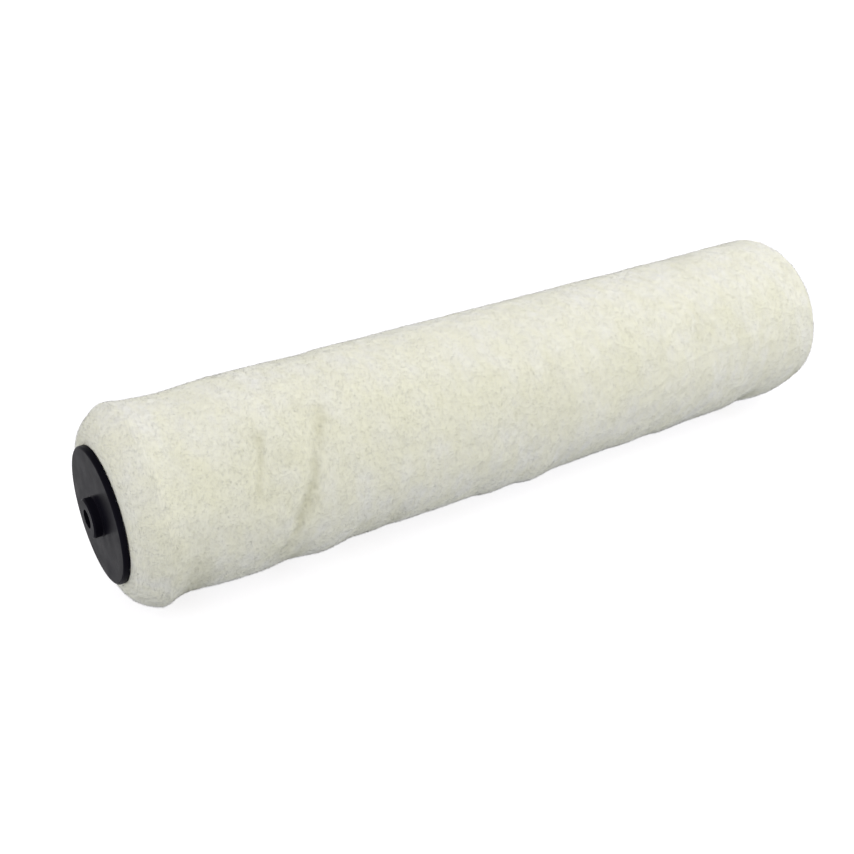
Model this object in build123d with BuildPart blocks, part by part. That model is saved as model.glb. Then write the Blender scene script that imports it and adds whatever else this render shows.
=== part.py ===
from build123d import *
import math
import os

# A paint roller refill: the sleeve that a double-arm roller frame carries on its rod.
# Frame: +X along the roller's axis, from the near cap to the far cap, +Z up.
# Origin: on the axis, halfway between the outer faces of the two end caps.
# All sizes are in millimetres.

# Driving dimensions: the sleeve
face_length = 305.0  # between the outer faces of the two cap flanges
core_r = 22.25  # 44.5 mm core tube
ply_names = ("core_inner_ply", "core_middle_ply", "core_outer_ply")
ply_thickness = 0.55
strip_pitch = 86.4  # advance of a wound strip in one turn
strip_kerf = 0.5  # gap where one turn of a strip butts against the next
cover_seam_x = -93.5  # where the cover's butt seam crosses the -Y side
backing_thickness = 1.0

# Driving dimensions: the pile
pile_r = 35.1  # tips of the nap
pile_far_x = 154.5  # and overhangs the far cap's face a little
near_bevel_length = 11.0  # the trimmed bevel at the near end
near_bevel_start_r = 24.0
far_corner_r = 2.0
flange_gap = 0.1  # between the overhanging nap and the far flange
pile_flat_depth = 1.0  # how far the nap is crushed under the lying roller

# Driving dimensions: the end caps
flange_r = 23.65  # covers the ends of the core and its cover
flange_thickness = 2.1
flange_rim_r = 0.9  # rounding of the rim on the face side
boss_r = 6.8
boss_height = 3.2
boss_edge = 0.5
boss_foot_r = 0.5
rod_bore_r = 3.25  # running hole for a 6.35 mm spindle rod
hub_r = 5.6
hub_length = 18.0  # behind the flange
skirt_length = 14.0
skirt_wall = 1.8
skirt_clearance = 0.25  # between the plug skirt and the core's bore
skirt_lead_in = 0.8
crush_rib_count = 12
crush_rib_width = 1.0
crush_rib_length = 10.0
web_count = 6
web_thickness = 1.2
web_length = 12.0

# Values worked out from them
core_length = face_length - 2 * flange_thickness
core_bore_r = core_r - len(ply_names) * ply_thickness
backing_r = core_r + backing_thickness
near_end_x = -core_length / 2
overhang_bore_r = flange_r + flange_gap
skirt_r = core_bore_r - skirt_clearance
skirt_bore_r = skirt_r - skirt_wall
crush_rib_r = math.sqrt(core_bore_r**2 - (crush_rib_width / 2) ** 2)

os.makedirs("parts", exist_ok=True)


def write(piece, label):
    """Label a finished piece, write its own STEP file and print its bulk."""
    piece.label = label
    export_step(piece, f"parts/{label}.step")
    print(f"{label}: {len(piece.solids())} solid, {piece.volume / 1000:.2f} cm3")


def wound_strip(inner_r, outer_r, seam_x):
    """A strip wound left-handed into a tube, its butt seam crossing the -Y side at seam_x."""
    wall = outer_r - inner_r
    middle_r = (inner_r + outer_r) / 2
    # A helix about +X starts on the +Z side, a quarter turn after the -Y side.
    start_x = seam_x + strip_pitch / 4
    turns_before = math.ceil((start_x - near_end_x) / strip_pitch + 0.1)
    start_x -= turns_before * strip_pitch
    height = core_length / 2 - start_x + 0.1 * strip_pitch
    with BuildPart() as strip:
        with BuildSketch(Plane.YZ.offset(near_end_x)):
            Circle(outer_r)
            Circle(inner_r, mode=Mode.SUBTRACT)
        extrude(amount=core_length)
        with BuildLine() as seam:
            Helix(
                strip_pitch,
                height,
                middle_r,
                center=(start_x, 0, 0),
                direction=(1, 0, 0),
                lefthand=True,
            )
        across = Plane(seam.line @ 0, x_dir=(1, 0, 0), z_dir=seam.line % 0)
        with BuildSketch(across):
            Rectangle(strip_kerf, 3 * wall)
        sweep(path=seam.line, is_frenet=True, mode=Mode.SUBTRACT)
    return strip.part


# Core tube: three plies of strip, wound with their butt seams staggered
for number, ply_name in enumerate(ply_names):
    ply_inner_r = core_bore_r + number * ply_thickness
    ply_seam_x = cover_seam_x + (number + 0.5) * strip_pitch / len(ply_names)
    write(wound_strip(ply_inner_r, ply_inner_r + ply_thickness, ply_seam_x), ply_name)

# Cover backing: the woven strip that carries the pile, bonded round the core
write(wound_strip(core_r, backing_r, cover_seam_x), "cover_backing")

# Pile: one soft ring of nap round the backing, bevelled behind the near flange,
# almost square at the far end, and crushed flat where the roller lies on it
with BuildPart() as pile:
    with BuildSketch(Plane.XZ):
        with BuildLine():
            near_foot = (near_end_x, backing_r)
            near_shoulder_x = near_end_x + near_bevel_length
            Line(near_foot, (near_end_x, near_bevel_start_r))
            EllipticalCenterArc(
                (near_shoulder_x, near_bevel_start_r),
                near_bevel_length,
                pile_r - near_bevel_start_r,
                start_angle=90,
                arc_size=90,
            )
            Line((near_shoulder_x, pile_r), (pile_far_x, pile_r))
            Polyline(
                (pile_far_x, pile_r),
                (pile_far_x, overhang_bore_r),
                (-near_end_x, overhang_bore_r),
                (-near_end_x, backing_r),
                near_foot,
            )
        make_face()
    revolve(axis=Axis.X)
    far_rings = pile.edges().filter_by(GeomType.CIRCLE).group_by(Axis.X)[-1]
    fillet(far_rings.sort_by(SortBy.RADIUS)[-1], far_corner_r)
    split(bisect_by=Plane.XY.offset(pile_flat_depth - pile_r), keep=Keep.TOP)
write(pile.part, "pile")

# End caps: one moulding each, a flange with a boss in front and a ribbed plug behind
for cap_name, side in (("near_end_cap", -1), ("far_end_cap", 1)):
    outward = Axis((0, 0, 0), (side, 0, 0))
    outer_face = Plane(origin=(side * face_length / 2, 0, 0), x_dir=(0, 1, 0), z_dir=(side, 0, 0))
    inner_face = outer_face.offset(-flange_thickness)
    with BuildPart() as cap:
        # Flange, its rim rounded over towards the face
        with BuildSketch(inner_face):
            Circle(flange_r)
        extrude(amount=flange_thickness)
        fillet(cap.edges().filter_by(GeomType.CIRCLE).sort_by(outward)[-1], flange_rim_r)
        # Boss that meets the frame's arm, with a small radius at its foot
        with BuildSketch(outer_face):
            Circle(boss_r)
        extrude(amount=boss_height)
        boss_rings = cap.edges(Select.LAST).filter_by(GeomType.CIRCLE).sort_by(outward)
        fillet(boss_rings[0], boss_foot_r)
        chamfer(cap.edges().filter_by(GeomType.CIRCLE).sort_by(outward)[-1], boss_edge)
        # Plug skirt, tapered at its mouth so that it starts easily in the core
        with BuildSketch(inner_face):
            Circle(skirt_r)
            Circle(skirt_bore_r, mode=Mode.SUBTRACT)
        extrude(amount=-skirt_length)
        skirt_mouth = cap.edges().filter_by(GeomType.CIRCLE).group_by(outward)[0]
        chamfer(skirt_mouth.sort_by(SortBy.RADIUS)[-1], skirt_lead_in)
        # Crush ribs, which grip the core's bore
        with BuildSketch(inner_face):
            with PolarLocations(crush_rib_r - skirt_clearance, crush_rib_count):
                Rectangle(2 * skirt_clearance, crush_rib_width)
        extrude(amount=-crush_rib_length)
        # Hub, which runs on the rod, tied to the skirt by radial webs
        with BuildSketch(inner_face):
            Circle(hub_r)
        extrude(amount=-hub_length)
        with BuildSketch(inner_face):
            with PolarLocations((hub_r + skirt_bore_r) / 2, web_count):
                Rectangle(skirt_bore_r - hub_r + skirt_wall / 2, web_thickness)
        extrude(amount=-web_length)
        with Locations(outer_face):
            Hole(rod_bore_r)
    write(cap.part, cap_name)
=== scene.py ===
import math

import bpy
import numpy as np
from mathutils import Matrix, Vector


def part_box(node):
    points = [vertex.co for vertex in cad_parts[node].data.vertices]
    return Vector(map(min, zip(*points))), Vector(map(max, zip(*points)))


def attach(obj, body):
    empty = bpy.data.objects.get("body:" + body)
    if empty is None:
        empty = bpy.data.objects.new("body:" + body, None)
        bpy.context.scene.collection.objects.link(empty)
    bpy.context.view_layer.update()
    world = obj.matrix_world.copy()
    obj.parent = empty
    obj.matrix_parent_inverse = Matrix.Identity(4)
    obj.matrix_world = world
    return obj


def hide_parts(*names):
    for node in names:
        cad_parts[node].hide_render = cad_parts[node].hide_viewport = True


# A paint roller refill: the CAD caps and core stay, and the nap is built here as a
# lumpy body with many short fibres. Lengths are in metres, but for the marks along the
# underside and the "hollow" values, which are in millimetres.

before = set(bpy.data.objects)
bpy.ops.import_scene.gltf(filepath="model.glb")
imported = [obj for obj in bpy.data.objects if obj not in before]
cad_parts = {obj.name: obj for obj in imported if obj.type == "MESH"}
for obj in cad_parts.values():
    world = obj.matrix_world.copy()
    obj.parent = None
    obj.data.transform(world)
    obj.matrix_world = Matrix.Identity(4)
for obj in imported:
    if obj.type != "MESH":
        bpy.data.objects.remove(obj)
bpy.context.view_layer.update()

BODY = "root"
MM = 0.001
rng = np.random.default_rng(20)

# ---------------------------------------------------------------- measures from the frame

pile_low, pile_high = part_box("pile")
backing_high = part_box("cover_backing")[1]
cap_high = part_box("near_end_cap")[1]

NAP_R = pile_high[1]
FLOOR_Z = pile_low[2]
NEAR_X = pile_low[0]
FAR_X = pile_high[0]
NAP_LENGTH = FAR_X - NEAR_X
BACKING_R = backing_high[1]
BACKING_FAR_X = backing_high[0]
FLANGE_R = cap_high[1]  # both caps are the same
CLEAR_OF_FLANGE_R = FLANGE_R + 0.15 * MM

# ---------------------------------------------------------------- the nap's outer shape

BEVEL_LENGTH = 11 * MM  # trimmed bevel at the near end
BEVEL_START_R = 23.8 * MM
BEVEL_RUN = 17 * MM  # about its length along the curve
FAR_END_LENGTH = 3.0 * MM  # the far end rounds over into its face
FAR_END_R = 24.0 * MM  # which reaches in to here, just outside the cap
FAR_END_SQUARENESS = 4.0  # 2 would be an ellipse
FAR_END_RUN = 13 * MM  # about its length along the curve
FIRST_TURN = 0.04  # rows start just past the bevel's steepest place, in radians
LAST_TURN = 1.54  # and stop just short of a quarter turn round the far end
FLARE = 0.8 * MM  # the nap spreads a little where it is cut
FLARE_X = 10 * MM
FLARE_WIDTH = 3.4 * MM
DIP = 0.7 * MM  # and is a little lower behind the flare
DIP_X = 28 * MM
DIP_WIDTH = 12 * MM
UNDER_DIP = 1.3 * MM  # more so low down, where it was pressed
UNDER_DIP_X = 19 * MM
UNDER_DIP_WIDTH = 9 * MM

SEAM_PITCH = 86.4 * MM  # the cover strip's advance in one turn
SEAM_X = -93.5 * MM  # where its butt seam crosses the -Y side
SEAM_WIDTH = 2.6 * MM
SEAM_DEPTH = 1.1 * MM
SEAM_WANDER = 1.2 * MM  # how far it strays in long waves
SEAM_JITTER = 0.9 * MM  # and in short ones
FAINT_SEAM = 0.15  # share of that depth on the other turns
SEAM_FROM = math.radians(-45)  # on the first turn it shows between these angles
SEAM_TO = math.radians(77)
SEAM_FADE_IN = 0.6  # and fades over these, in radians
SEAM_FADE_OUT = 0.8
SEAM_DEEPEST = math.radians(24)
SEAM_DEEP_SPREAD = math.radians(28)

PARTING_FROM = (-108.5 * MM, math.radians(20))  # axial place and angle of its lower end
PARTING_TO = (-103.5 * MM, math.radians(46))
PARTING_STRENGTH = 0.5
PARTING_WIDTH = 1.3 * MM
PARTING_END = 3 * MM  # over which it dies out at each end

BAND_ANGLE = math.radians(30)  # the middle of the band of painted shade along the side
BAND_SPREAD = math.radians(34)

# Lumps all over: size, height and seed
LUMPS = (
    (26 * MM, 0.30 * MM, 30),
    (9 * MM, 0.22 * MM, 31),
    (3.6 * MM, 0.16 * MM, 32),
)
UNDERSIDE_LUMP_SIZE = 22 * MM
UNDERSIDE_LUMPS = 0.35 * MM

# Pressed hollows and lumps along the underside: axial place and height, in millimetres
UNDERSIDE_MARKS = (
    (-95, -0.8),
    (-81, 0.9),
    (-69, -0.9),
    (-55, -0.8),
    (-8, 1.0),
    (10, 1.1),
    (60, 0.7),
    (80, 0.5),
    (126, -1.5),
    (153, -1.9),
)
MARK_WIDTH = 6 * MM
EVEN_EDGE = 6 * MM  # the unevenness sets in over this length from the near cap


def smooth_noise(x, phi, size, seed):
    """Smooth random heights from -1 to 1 over the roller, that meet themselves round it."""
    cells_round = max(3, round(2 * math.pi * NAP_R / size))
    cells_along = int(NAP_LENGTH / size) + 4
    grid = np.random.default_rng(seed).uniform(-1, 1, (cells_along, cells_round))
    u = (x - NEAR_X) / size + 1
    v = (phi % (2 * math.pi)) / (2 * math.pi) * cells_round
    i = np.clip(np.floor(u).astype(int), 0, cells_along - 2)
    j = np.floor(v).astype(int) % cells_round
    a = np.clip(u - i, 0, 1)
    b = v - np.floor(v)
    a = a * a * (3 - 2 * a)
    b = b * b * (3 - 2 * b)
    k = (j + 1) % cells_round
    near = grid[i, j] * (1 - b) + grid[i, k] * b
    far = grid[i + 1, j] * (1 - b) + grid[i + 1, k] * b
    return near * (1 - a) + far * a


def bump(distance, width):
    """A smooth hill of height 1 that falls to 1/e at the given width."""
    return np.exp(-((distance / width) ** 2))


def smooth_step(value, low, high):
    """A smooth rise from 0 at low to 1 at high."""
    share = np.clip((value - low) / (high - low), 0, 1)
    return share * share * (3 - 2 * share)


def seam_strength(x, phi):
    """How deep the nap is parted over the cover's helical butt seam, as a share of SEAM_DEPTH.

    phi is 0 on the -Y side and a quarter turn on top; the seam advances with it.
    """
    angle = wrapped(phi)
    along = x - SEAM_X - SEAM_PITCH * angle / (2 * math.pi)
    turn = np.round(along / SEAM_PITCH)
    stray = SEAM_WANDER * smooth_noise(x, phi, 13 * MM, seed=71)
    stray = stray + SEAM_JITTER * smooth_noise(x, phi, 3.2 * MM, seed=74)
    width = SEAM_WIDTH * (1 + 0.4 * smooth_noise(x, phi, 6 * MM, seed=73))
    valley = bump(along - turn * SEAM_PITCH + stray, width)
    fade = smooth_step(angle, SEAM_FROM, SEAM_FROM + SEAM_FADE_IN)
    fade = fade * (1 - smooth_step(angle, SEAM_TO - SEAM_FADE_OUT, SEAM_TO))
    depth = np.where(turn == 0, FAINT_SEAM + (1 - FAINT_SEAM) * fade, FAINT_SEAM)
    uneven = 0.60 + 0.40 * bump(angle - SEAM_DEEPEST, SEAM_DEEP_SPREAD)
    uneven = uneven + 0.20 * smooth_noise(x, phi, 9 * MM, seed=72)
    uneven = uneven + 0.35 * smooth_noise(x, phi, 2.6 * MM, seed=75)
    return valley * depth * uneven


def wrapped(phi):
    """The same angle from -130 to 230 degrees, so that its jump is on the +Y side, low down."""
    jump = math.radians(-130)
    return (phi - jump) % (2 * math.pi) + jump


def parting_strength(x, phi):
    """A short parting in the nap on the side, between the near end and the seam."""
    start_x, start_angle = PARTING_FROM
    end_x, end_angle = PARTING_TO
    share = np.clip((wrapped(phi) - start_angle) / (end_angle - start_angle), 0, 1)
    across = x - (start_x + share * (end_x - start_x))
    across = across + 0.8 * MM * smooth_noise(x, phi, 3 * MM, seed=77)
    beyond = (wrapped(phi) - (start_angle + share * (end_angle - start_angle))) * NAP_R
    return PARTING_STRENGTH * bump(across, PARTING_WIDTH) * bump(beyond, PARTING_END)


def painted_side_shade(x, phi):
    """How much painted shade darkens and yellows a broad band along the side: about 1 in its middle."""
    # painted shade: a darker band along the side, stronger towards the near end, with lumps in it
    band = bump(wrapped(phi) - BAND_ANGLE, BAND_SPREAD)
    lumps = 0.35 * smooth_noise(x, phi, 15 * MM, seed=81) + 0.3 * smooth_noise(x, phi, 5 * MM, seed=82)
    towards_near = 0.3 * (1 - 2 * smooth_step(x, NEAR_X, FAR_X))
    return band * (0.9 + lumps + towards_near) * smooth_step(x, NEAR_X, NEAR_X + 20 * MM)


def envelope(x):
    """Radius of the nap's trimmed outline along the axis, before any unevenness."""
    from_near = x - NEAR_X
    share = np.clip(1 - from_near / BEVEL_LENGTH, 0, 1)
    near = BEVEL_START_R + (NAP_R - BEVEL_START_R) * np.sqrt(1 - share**2)
    share = np.clip(1 - (FAR_X - x) / FAR_END_LENGTH, 0, 1)
    far = FAR_END_R + (NAP_R - FAR_END_R) * (1 - share**FAR_END_SQUARENESS) ** (1 / FAR_END_SQUARENESS)
    near_shape = FLARE * bump(from_near - FLARE_X, FLARE_WIDTH)
    near_shape = near_shape - DIP * bump(from_near - DIP_X, DIP_WIDTH)
    return np.minimum(near, far) + near_shape


def rows_along(step):
    """Axial places along the outline, crowded together where it climbs steeply at its ends."""
    turn = np.linspace(FIRST_TURN, math.pi / 2, round(BEVEL_RUN / step))
    bevel = NEAR_X + BEVEL_LENGTH * (1 - np.cos(turn))
    turn = np.linspace(0, LAST_TURN, round(FAR_END_RUN / step))
    power = FAR_END_SQUARENESS
    reach = (np.cos(turn) ** power + np.sin(turn) ** power) ** (-1 / power)
    end = FAR_X - FAR_END_LENGTH * (1 - reach * np.sin(turn))
    middle = np.arange(bevel[-1] + step, end[0] - step / 2, step)
    return np.concatenate([bevel, middle, end])


def unevenness(x, phi):
    """Height of the nap's lumps and hollows over the trimmed outline."""
    height = 0
    for size, amount, seed in LUMPS:
        height = height + amount * smooth_noise(x, phi, size, seed)
    # what is pressed into the underside starts just below the side, and the dip just above it
    under = smooth_step(-np.sin(phi), 0.1, 0.9)
    height = height + UNDERSIDE_LUMPS * under * smooth_noise(x, phi, UNDERSIDE_LUMP_SIZE, seed=40)
    for place, amount in UNDERSIDE_MARKS:
        height = height + amount * MM * under * bump(x - place * MM, MARK_WIDTH)
    low = smooth_step(-np.sin(phi), -0.3, 0.75)
    height = height - UNDER_DIP * low * bump(x - NEAR_X - UNDER_DIP_X, UNDER_DIP_WIDTH)
    height = height - SEAM_DEPTH * (seam_strength(x, phi) + parting_strength(x, phi))
    # the trimmed near edge and the inside of the far face stay even where they meet the caps
    height = height * smooth_step(x, NEAR_X, NEAR_X + EVEN_EDGE)
    up_the_far_face = (envelope(x) - FAR_END_R) / (NAP_R - FAR_END_R)
    return np.where(x > 0, height * up_the_far_face, height)


def surface(x, phi):
    """Radius of the nap's outer surface, lumps and hollows included."""
    return envelope(x) + unevenness(x, phi)


def on_roller(x, phi, radius):
    """The point at an axial place, angle and radius; phi 0 is the -Y side, rising to +Z."""
    return np.stack([x, -radius * np.cos(phi), radius * np.sin(phi)], axis=-1)


def above_floor(points, gap=0.0):
    """Lay what would sink below the floor flat on it, or a gap above it."""
    points[..., 2] = np.maximum(points[..., 2], FLOOR_Z + gap)
    return points


# ---------------------------------------------------------------- mesh helpers


def new_piece(name, points, faces, material, smooth=True):
    mesh = bpy.data.meshes.new(name)
    mesh.from_pydata(points.reshape(-1, 3).tolist(), [], faces)
    mesh.polygons.foreach_set("use_smooth", [smooth] * len(mesh.polygons))
    mesh.materials.append(material)
    mesh.update()
    piece = bpy.data.objects.new(name, mesh)
    bpy.context.scene.collection.objects.link(piece)
    return piece


def add_values(piece, name, values):
    """Store one number per point, for the materials to read."""
    attribute = piece.data.attributes.new(name, "FLOAT", "POINT")
    attribute.data.foreach_set("value", np.ascontiguousarray(values, dtype=np.float32).ravel())


# ---------------------------------------------------------------- materials


def new_material(name):
    material = bpy.data.materials.new(name)
    material.use_nodes = True
    nodes = material.node_tree.nodes
    nodes.clear()
    shader = nodes.new("ShaderNodeBsdfPrincipled")
    output = nodes.new("ShaderNodeOutputMaterial")
    material.node_tree.links.new(shader.outputs["BSDF"], output.inputs["Surface"])
    return material, shader


class Nodes:
    """Short calls for wiring a material's nodes."""

    def __init__(self, material):
        self.tree = material.node_tree
        self.position = self.tree.nodes.new("ShaderNodeTexCoord").outputs["Object"]

    def link(self, source, target):
        self.tree.links.new(source, target)

    def noise(self, scale, detail=3.0, roughness=0.55, stretch=(1, 1, 1)):
        """Noise over the object, with about this many cells a metre."""
        mapping = self.tree.nodes.new("ShaderNodeMapping")
        mapping.inputs["Scale"].default_value = stretch
        self.link(self.position, mapping.inputs["Vector"])
        node = self.tree.nodes.new("ShaderNodeTexNoise")
        node.inputs["Scale"].default_value = scale
        node.inputs["Detail"].default_value = detail
        node.inputs["Roughness"].default_value = roughness
        self.link(mapping.outputs["Vector"], node.inputs["Vector"])
        return node.outputs["Fac"]

    def attribute(self, name):
        node = self.tree.nodes.new("ShaderNodeAttribute")
        node.attribute_name = name
        return node.outputs["Fac"]

    def fit(self, value, low, high, to_low=0.0, to_high=1.0):
        """The value with its range from low to high mapped to another one."""
        node = self.tree.nodes.new("ShaderNodeMapRange")
        node.inputs["From Min"].default_value = low
        node.inputs["From Max"].default_value = high
        node.inputs["To Min"].default_value = to_low
        node.inputs["To Max"].default_value = to_high
        self.link(value, node.inputs["Value"])
        return node.outputs["Result"]

    def mix(self, share, first, second):
        node = self.tree.nodes.new("ShaderNodeMix")
        node.data_type = "RGBA"
        # of the node's many sockets, these are the factor and the two colours
        for value, socket in ((share, 0), (first, 6), (second, 7)):
            if hasattr(value, "links"):
                self.link(value, node.inputs[socket])
            elif socket == 0:
                node.inputs[socket].default_value = value
            else:
                node.inputs[socket].default_value = (*value, 1)
        return node.outputs[2]

    def bump(self, height, strength, distance, shader):
        node = self.tree.nodes.new("ShaderNodeBump")
        node.inputs["Strength"].default_value = strength
        node.inputs["Distance"].default_value = distance
        self.link(height, node.inputs["Height"])
        self.link(node.outputs["Normal"], shader.inputs["Normal"])


# the wool's colours, and two colours of painted shade: for the band along the side and for the hollows
PALE = (0.87, 0.865, 0.84)
YELLOW = (0.85, 0.835, 0.66)
# painted shade for the band along the side: darker and yellower
PAINTED_SIDE_SHADE = (0.74, 0.73, 0.54)
# painted shade: the darker colour put into the nap's hollows
PAINTED_HOLLOW_SHADE = (0.66, 0.645, 0.48)


def fleece_material(name, fibres):
    material, shader = new_material(name)
    nodes = Nodes(material)
    # how yellow the wool is: in wide patches, in clumps and tuft by tuft, and more at its roots
    patches = nodes.fit(nodes.noise(34, 4.0, 0.6), 0.38, 0.66)
    clumps = nodes.fit(nodes.noise(125, 2.0, 0.5, stretch=(1, 0.55, 0.55)), 0.38, 0.62)
    tufts = nodes.fit(nodes.noise(330, 3.0, 0.6, stretch=(1, 0.6, 0.6)), 0.38, 0.66)
    colour = nodes.mix(nodes.fit(patches, 0, 1, 0.0, 0.35), PALE, YELLOW)
    colour = nodes.mix(nodes.fit(clumps, 0, 1, 0, 0.5), colour, YELLOW)
    colour = nodes.mix(nodes.fit(tufts, 0, 1, 0, 0.4), colour, YELLOW)
    if fibres:
        roots = nodes.fit(nodes.attribute("height"), 0.0, 0.6, 0.35, 0.0)
        colour = nodes.mix(roots, colour, YELLOW)
        colour = nodes.mix(nodes.fit(nodes.attribute("tone"), 0, 1, 0, 0.8), colour, PALE)
    else:
        colour = nodes.mix(0.2, colour, YELLOW)
        nodes.bump(nodes.noise(900, 4.0, 0.7), 0.25, 0.3 * MM, shader)
    # the band along the side is darkened with painted shade
    colour = nodes.mix(nodes.fit(nodes.attribute("painted_side_shade"), 0, 1, 0, 0.45), colour, PAINTED_SIDE_SHADE)
    # hollows are darkened with painted shade, the deeper ones more
    hollow = nodes.attribute("hollow")
    colour = nodes.mix(nodes.fit(hollow, 0.15, 1.1, 0, 0.8), colour, PAINTED_HOLLOW_SHADE)
    nodes.link(colour, shader.inputs["Base Color"])
    shader.inputs["Roughness"].default_value = 0.95
    shader.inputs["Specular IOR Level"].default_value = 0.12
    shader.inputs["Sheen Weight"].default_value = 0.15
    shader.inputs["Sheen Roughness"].default_value = 0.5
    return material


CAP_DARK = (0.0042, 0.0038, 0.0066)
CAP_LIGHT = (0.0076, 0.0070, 0.0112)


def cap_material():
    material, shader = new_material("moulded_black_plastic")
    nodes = Nodes(material)
    cloud = nodes.fit(nodes.noise(60, 5.0, 0.6), 0.35, 0.7)
    nodes.link(nodes.mix(cloud, CAP_DARK, CAP_LIGHT), shader.inputs["Base Color"])
    nodes.link(nodes.fit(nodes.noise(140, 5.0, 0.65), 0.3, 0.75, 0.26, 0.40), shader.inputs["Roughness"])
    nodes.bump(nodes.noise(2200, 3.0, 0.6), 0.10, 0.04 * MM, shader)
    shader.inputs["Specular IOR Level"].default_value = 0.010
    return material


BOARD_LIGHT = (0.30, 0.17, 0.08)
BOARD_DARK = (0.17, 0.09, 0.04)


def board_material():
    material, shader = new_material("resin_bonded_board")
    nodes = Nodes(material)
    cloud = nodes.fit(nodes.noise(90, 5.0, 0.65, stretch=(1, 3, 3)), 0.3, 0.7)
    nodes.link(nodes.mix(cloud, BOARD_LIGHT, BOARD_DARK), shader.inputs["Base Color"])
    nodes.link(nodes.fit(nodes.noise(300, 3.0), 0.3, 0.7, 0.5, 0.8), shader.inputs["Roughness"])
    nodes.bump(nodes.noise(1500, 4.0, 0.7), 0.3, 0.1 * MM, shader)
    return material


CLOTH_DARK = (0.62, 0.58, 0.45)
CLOTH_LIGHT = (0.74, 0.70, 0.58)


def backing_material():
    material, shader = new_material("woven_backing")
    nodes = Nodes(material)
    cloud = nodes.fit(nodes.noise(120, 3.0), 0.3, 0.7)
    nodes.link(nodes.mix(cloud, CLOTH_DARK, CLOTH_LIGHT), shader.inputs["Base Color"])
    weave = nodes.tree.nodes.new("ShaderNodeTexWave")
    weave.inputs["Scale"].default_value = 400
    weave.inputs["Distortion"].default_value = 1.5
    nodes.link(nodes.position, weave.inputs["Vector"])
    nodes.bump(weave.outputs["Fac"], 0.6, 0.2 * MM, shader)
    shader.inputs["Roughness"].default_value = 0.9
    return material


# ---------------------------------------------------------------- the nap

BODY_DEPTH = 0.55 * MM  # the body lies this far under the fibre tips
BODY_STEP = 0.95 * MM
SLOPE_STEP = 0.25 * MM
STEEPEST = 6  # slopes are taken as no steeper than this
BODY_CLEARANCE = 0.1 * MM  # of the body over the floor
EDGE_DEPTH = 0.3  # share of BODY_DEPTH at the near edge
EDGE_LENGTH = 5 * MM  # over which it grows to the whole


def outward(x, phi, lumps=True):
    """Outward normal of the nap's surface, with or without its lumps and hollows."""
    shape = surface if lumps else (lambda x, phi: envelope(x))
    radius = shape(x, phi)
    along = (shape(x + SLOPE_STEP, phi) - shape(x - SLOPE_STEP, phi)) / (2 * SLOPE_STEP)
    turn = SLOPE_STEP / NAP_R
    around = (shape(x, phi + turn) - shape(x, phi - turn)) / (2 * turn * radius)
    along = np.clip(along, -STEEPEST, STEEPEST)
    radial = np.stack([np.zeros_like(phi), -np.cos(phi), np.sin(phi)], axis=-1)
    tangent = np.stack([np.zeros_like(phi), np.sin(phi), np.cos(phi)], axis=-1)
    axial = np.array([1.0, 0, 0])
    normal = radial - along[..., None] * axial - around[..., None] * tangent
    return normal / np.linalg.norm(normal, axis=-1, keepdims=True)


def body_depth(x):
    """How far the body lies under the nap's outline: less where it meets the near cap."""
    share = EDGE_DEPTH + (1 - EDGE_DEPTH) * smooth_step(x, NEAR_X, NEAR_X + EDGE_LENGTH)
    return (BODY_DEPTH * share)[..., None]


def nap_body(material):
    """The dense lower nap: one closed lumpy ring that the fibres stand out of."""
    around = round(2 * math.pi * NAP_R / BODY_STEP)
    phi = np.arange(around) * 2 * math.pi / around
    x, angle = np.meshgrid(rows_along(BODY_STEP), phi, indexing="ij")
    rough = unevenness(x, angle)
    outer = on_roller(x, angle, envelope(x) + rough) - outward(x, angle, lumps=False) * body_depth(x)
    outer[..., 0] = np.clip(outer[..., 0], NEAR_X, FAR_X)
    outer = above_floor(outer, BODY_CLEARANCE)
    # the inner side lies on the backing and steps round the far cap's flange
    inner_rings = [
        (BACKING_FAR_X, BACKING_R),
        (BACKING_FAR_X, CLEAR_OF_FLANGE_R),
        (outer[-1, 0, 0], CLEAR_OF_FLANGE_R),
    ]
    near_foot = on_roller(np.full(around, outer[0, 0, 0]), phi, np.full(around, BACKING_R))
    inner = []
    for place, radius in inner_rings:
        inner.append(on_roller(np.full(around, place), phi, np.full(around, radius)))
    points = np.concatenate([near_foot[None], outer, np.stack(inner[::-1])])
    count = len(points)
    faces = []
    for i in range(count):
        a = i * around
        b = ((i + 1) % count) * around
        for j in range(around):
            k = (j + 1) % around
            faces.append((a + j, b + j, b + k, a + k))
    piece = new_piece("nap_body", points, faces, material)
    # the depth of the hollows, which sets the painted shade in them
    hollow = np.zeros((count, around))
    hollow[1 : len(x) + 1] = -rough / MM
    add_values(piece, "hollow", hollow)
    # the share of painted shade on the band along the side
    side_shade = np.zeros((count, around))
    side_shade[1 : len(x) + 1] = painted_side_shade(x, angle)
    add_values(piece, "painted_side_shade", side_shade)
    return piece


FIBRE_PIECES = 6
FIBRES = FIBRE_PIECES * 64_000
FIBRE_REACH = 1.1 * MM  # how far a fibre runs along the nap before its tip
FIBRE_RISE = 0.42 * MM  # and how far its tip stands over the body
FIBRE_WIDTH = 0.17 * MM
REACH_RANGE = (0.5, 1.2)  # shares of the reach and of the width that single fibres have
WIDTH_RANGE = (0.7, 1.3)
RISE_SPREAD = 0.35
HOLLOW_RANGE = (0.3, 1.2)  # how much of a place's painted shade, in its hollow and on the side band, each fibre takes
PAINTED_SIDE_SHADE_RANGE = (0.0, 1.4)
FACE_FROM = 0.6  # how far the nap faces along +X where the cut far face sets in
FACE_FULL = 0.95
FACE_LEAN = 0.3  # share of a fibre's own lean that it keeps there
FACE_RISE = 0.6  # and how much higher it stands
RIDGE = 0.5  # height of its ridge over its flat underside, as a share of the half width
FIBRE_SINK = 0.35 * MM  # its foot under the body's surface
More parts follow.
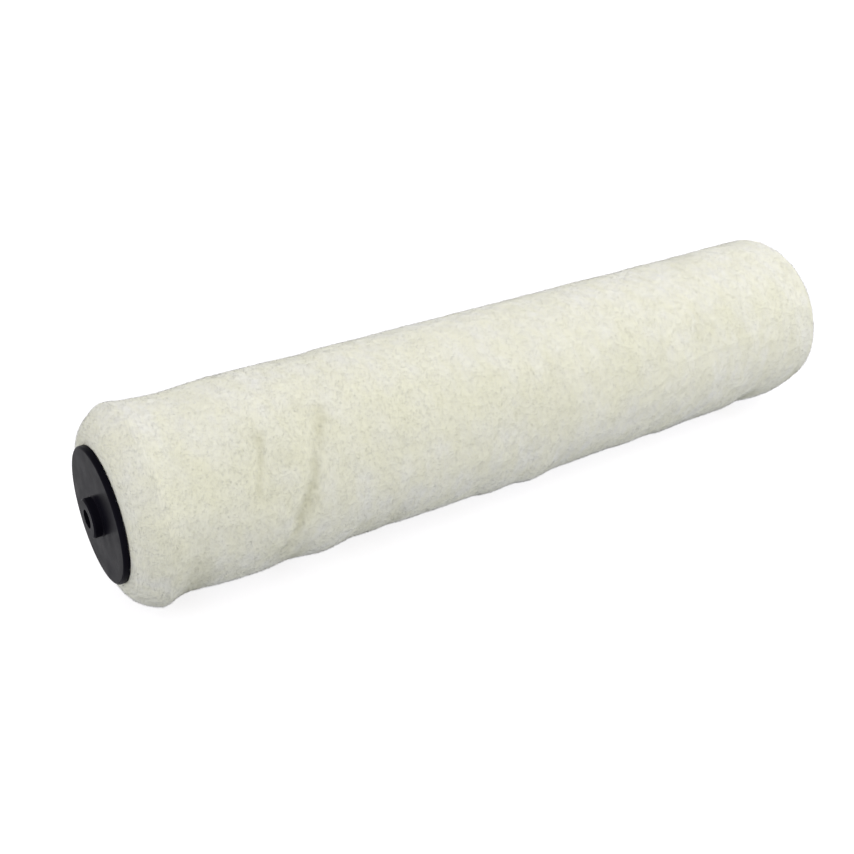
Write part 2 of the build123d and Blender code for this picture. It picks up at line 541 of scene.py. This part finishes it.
SHADE_SPREAD = 0.14  # how far each fibre's shading turns away from the nap's
TUFT_SIZE = 2.4 * MM
TUFT_SPREAD = 0.45  # how far the tufts' lean differs, in radians
DRIFT = 0.9  # how far it turns from place to place
DRIFT_SIZE = 11 * MM
FIBRE_SPREAD = 1.2  # how far the fibres of a tuft differ
SHARE_TURNED = 0.35  # of the fibres that lie the other way round
RIM_FUZZ = 0.9 * MM  # how far the nearest fibres may reach over the flange's rim


def scatter(count):
    """Even random places over the nap, with the steep bevel counted by its real area."""
    rows = rows_along(0.08 * MM)
    radius = envelope(rows)
    run = np.hypot(np.diff(rows), np.diff(radius)) * (radius[1:] + radius[:-1]) / 2
    total = np.concatenate([[0], np.cumsum(run)])
    x = np.interp(rng.uniform(0, total[-1], count), total, rows)
    return x, rng.uniform(0, 2 * math.pi, count)


def tuft_lean(x, phi):
    """The way each fibre's tuft lies: an angle from straight round the roller."""
    around = round(2 * math.pi * NAP_R / TUFT_SIZE)
    along = int(NAP_LENGTH / TUFT_SIZE) + 2
    row = np.floor((x - NEAR_X) / TUFT_SIZE).astype(int)
    column = np.floor(phi / (2 * math.pi) * around + 0.5 * (row % 2)).astype(int) % around
    own = np.random.default_rng(50).normal(0, TUFT_SPREAD, (along, around))
    return own[row, column] + DRIFT * smooth_noise(x, phi, DRIFT_SIZE, seed=61)


def nap_fibres(material):
    """Thin tapered fibres that lie over the body, each with a low ridge outward."""
    x, phi = scatter(FIBRES)
    rough = unevenness(x, phi)
    normal = outward(x, phi)
    smooth = outward(x, phi, lumps=False)
    top = on_roller(x, phi, envelope(x) + rough)
    tangent = np.stack([np.zeros_like(phi), np.sin(phi), np.cos(phi)], axis=-1)
    axial = np.cross(tangent, smooth)
    own_lean = rng.normal(0, FIBRE_SPREAD, FIBRES)
    turned = rng.uniform(0, 1, FIBRES) < SHARE_TURNED
    lean = tuft_lean(x, phi) + own_lean + math.pi * turned
    # on the cut far face they all point outward from the backing
    on_face = smooth_step(smooth[:, 0], FACE_FROM, FACE_FULL)
    lean = np.where(on_face > 0.5, FACE_LEAN * own_lean - math.pi / 2, lean)
    along = tangent * np.cos(lean)[:, None] + axial * np.sin(lean)[:, None]
    across = np.cross(smooth, along)
    reach = FIBRE_REACH * rng.uniform(*REACH_RANGE, FIBRES)[:, None]
    rise = FIBRE_RISE * (rng.normal(1, RISE_SPREAD, FIBRES) + FACE_RISE * on_face)[:, None]
    depth = body_depth(x)
    foot = top - smooth * (depth + FIBRE_SINK) - along * reach / 2
    tip = top - smooth * depth + smooth * rise + along * reach / 2
    half_width = FIBRE_WIDTH * rng.uniform(*WIDTH_RANGE, FIBRES)[:, None] / 2
    ridge = foot + smooth * half_width * RIDGE
    points = np.stack([foot - across * half_width, foot + across * half_width, ridge, tip], axis=1)
    # the nearest fibres brush over the flange's rim, and none run into the flange
    clear_of_flange = np.hypot(points[..., 1], points[..., 2]) > CLEAR_OF_FLANGE_R
    points[..., 0] = np.maximum(points[..., 0], np.where(clear_of_flange, NEAR_X - RIM_FUZZ, NEAR_X))
    points = above_floor(points)
    soft = normal + SHADE_SPREAD * (1 + on_face)[:, None] * rng.normal(0, 1, (FIBRES, 3))
    soft /= np.linalg.norm(soft, axis=-1, keepdims=True)
    soft = np.repeat(soft, 4, axis=0).reshape(-1, 4, 3)
    # each fibre's share of the painted shade in the hollows
    hollow = np.repeat(-rough / MM * rng.uniform(*HOLLOW_RANGE, FIBRES), 4).reshape(-1, 4)
    # and each fibre's share of the painted shade on the band along the side
    side_shade = np.repeat(painted_side_shade(x, phi) * rng.uniform(*PAINTED_SIDE_SHADE_RANGE, FIBRES), 4).reshape(-1, 4)
    tone = np.repeat(rng.uniform(0, 1, FIBRES), 4).reshape(-1, 4)
    height = np.tile(np.array([0, 0, 0, 1.0]), (FIBRES, 1))
    pieces = []
    share = FIBRES // FIBRE_PIECES
    order = np.argsort(x)
    for number in range(FIBRE_PIECES):
        chosen = order[number * share : (number + 1) * share]
        first = np.arange(share)[:, None] * 4
        # the flat underside and the two sides of the ridge, all running to the tip
        faces = (first + np.array([0, 1, 3, 1, 2, 3, 2, 0, 3])).reshape(-1, 3).tolist()
        piece = new_piece(f"nap_fibres_{number + 1}", points[chosen], faces, material)
        add_values(piece, "hollow", hollow[chosen])
        add_values(piece, "height", height[chosen])
        add_values(piece, "painted_side_shade", side_shade[chosen])
        add_values(piece, "tone", tone[chosen])
        piece.data.normals_split_custom_set_from_vertices(soft[chosen].reshape(-1, 3).tolist())
        pieces.append(piece)
    return pieces


body = nap_body(fleece_material("fleece_body", fibres=False))
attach(body, BODY)
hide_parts("pile")
for piece in nap_fibres(fleece_material("fleece_fibres", fibres=True)):
    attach(piece, BODY)

# ---------------------------------------------------------------- materials of the CAD pieces

cad_materials = {
    "near_end_cap": cap_material(),
    "core_inner_ply": board_material(),
    "cover_backing": backing_material(),
}
cad_materials["far_end_cap"] = cad_materials["near_end_cap"]
cad_materials["core_middle_ply"] = cad_materials["core_inner_ply"]
cad_materials["core_outer_ply"] = cad_materials["core_inner_ply"]
for node, material in cad_materials.items():
    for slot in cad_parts[node].material_slots:
        slot.material = material

# ---------------------------------------------------------------- stage, light and camera


FLOOR_HALF = 4.0
FLOOR_GLOW = 0.70  # keeps the studio floor near white in the roller's soft shadow


def stage_floor():
    mesh = bpy.data.meshes.new("floor")
    corners = [(x * FLOOR_HALF, y * FLOOR_HALF, FLOOR_Z) for x, y in ((-1, -1), (1, -1), (1, 1), (-1, 1))]
    mesh.from_pydata(corners, [], [(0, 1, 2, 3)])
    floor = bpy.data.objects.new("floor", mesh)
    bpy.context.scene.collection.objects.link(floor)
    material, shader = new_material("pale_floor")
    shader.inputs["Base Color"].default_value = (0.5, 0.5, 0.5, 1)
    shader.inputs["Roughness"].default_value = 0.9
    shader.inputs["Specular IOR Level"].default_value = 0.1
    shader.inputs["Emission Color"].default_value = (0.98, 0.97, 1.0, 1)
    shader.inputs["Emission Strength"].default_value = FLOOR_GLOW
    mesh.materials.append(material)
    floor.visible_diffuse = False  # the dimmer lower half of the world lights the underside


def softbox(name, place, aim, size, power):
    data = bpy.data.lights.new(name, "AREA")
    data.shape = "DISK"
    data.size = size
    data.energy = power
    light = bpy.data.objects.new(name, data)
    light.location = place
    light.rotation_euler = (Vector(place) - Vector(aim)).to_track_quat("Z", "Y").to_euler()
    light.visible_camera = False
    bpy.context.scene.collection.objects.link(light)


WORLD_LOW = -0.35  # the world changes between these heights of a unit direction
WORLD_HIGH = 0.65
WHITE_BAND = (0.30, 0.65)  # shares of the way up between which it is brightest


def studio_world(above, horizon, below, below_tint):
    """White light from all round, brightest at the horizon, dimmer and cooler below it."""
    world = bpy.data.worlds.new("studio")
    world.use_nodes = True
    tree = world.node_tree
    direction = tree.nodes.new("ShaderNodeTexCoord").outputs["Generated"]
    split = tree.nodes.new("ShaderNodeSeparateXYZ")
    tree.links.new(direction, split.inputs["Vector"])
    height = tree.nodes.new("ShaderNodeMapRange")
    height.inputs["From Min"].default_value = WORLD_LOW
    height.inputs["From Max"].default_value = WORLD_HIGH
    tree.links.new(split.outputs["Z"], height.inputs["Value"])
    sky = tree.nodes.new("ShaderNodeValToRGB")
    stops = sky.color_ramp.elements
    stops[0].color = (*(below * part for part in below_tint), 1)
    stops[1].color = (above, above, above, 1)
    for place in WHITE_BAND:
        stops.new(place).color = (horizon, horizon, horizon, 1)
    tree.links.new(height.outputs["Result"], sky.inputs["Fac"])
    tree.links.new(sky.outputs["Color"], tree.nodes["Background"].inputs["Color"])
    bpy.context.scene.world = world


def camera(azimuth, elevation, distance, target, lens):
    a = math.radians(azimuth)
    e = math.radians(elevation)
    back = Vector((math.sin(a) * math.cos(e), -math.cos(a) * math.cos(e), math.sin(e)))
    data = bpy.data.cameras.new("camera")
    data.lens = lens
    data.sensor_width = 36
    eye = bpy.data.objects.new("camera", data)
    eye.location = Vector(target) + back * distance
    eye.rotation_euler = (-back).to_track_quat("-Z", "Y").to_euler()
    bpy.context.scene.collection.objects.link(eye)
    bpy.context.scene.camera = eye


stage_floor()
studio_world(above=0.79, horizon=1.0, below=0.465, below_tint=(0.94, 0.975, 1.02))
softbox("overhead", place=(0.48, -0.10, 0.72), aim=(0.08, 0, 0), size=1.0, power=1.95)
softbox("far_side", place=(0.34, -0.46, 0.20), aim=(0.08, 0, 0), size=0.40, power=0.46)
softbox("near_side", place=(-0.80, -0.10, 0.25), aim=(-0.15, 0, 0), size=0.40, power=0.29)
camera(azimuth=-33.31, elevation=28.32, distance=0.4405, target=(-0.0236, 0, -0.0051), lens=48.58)
bpy.context.scene.view_settings.view_transform = "Standard"
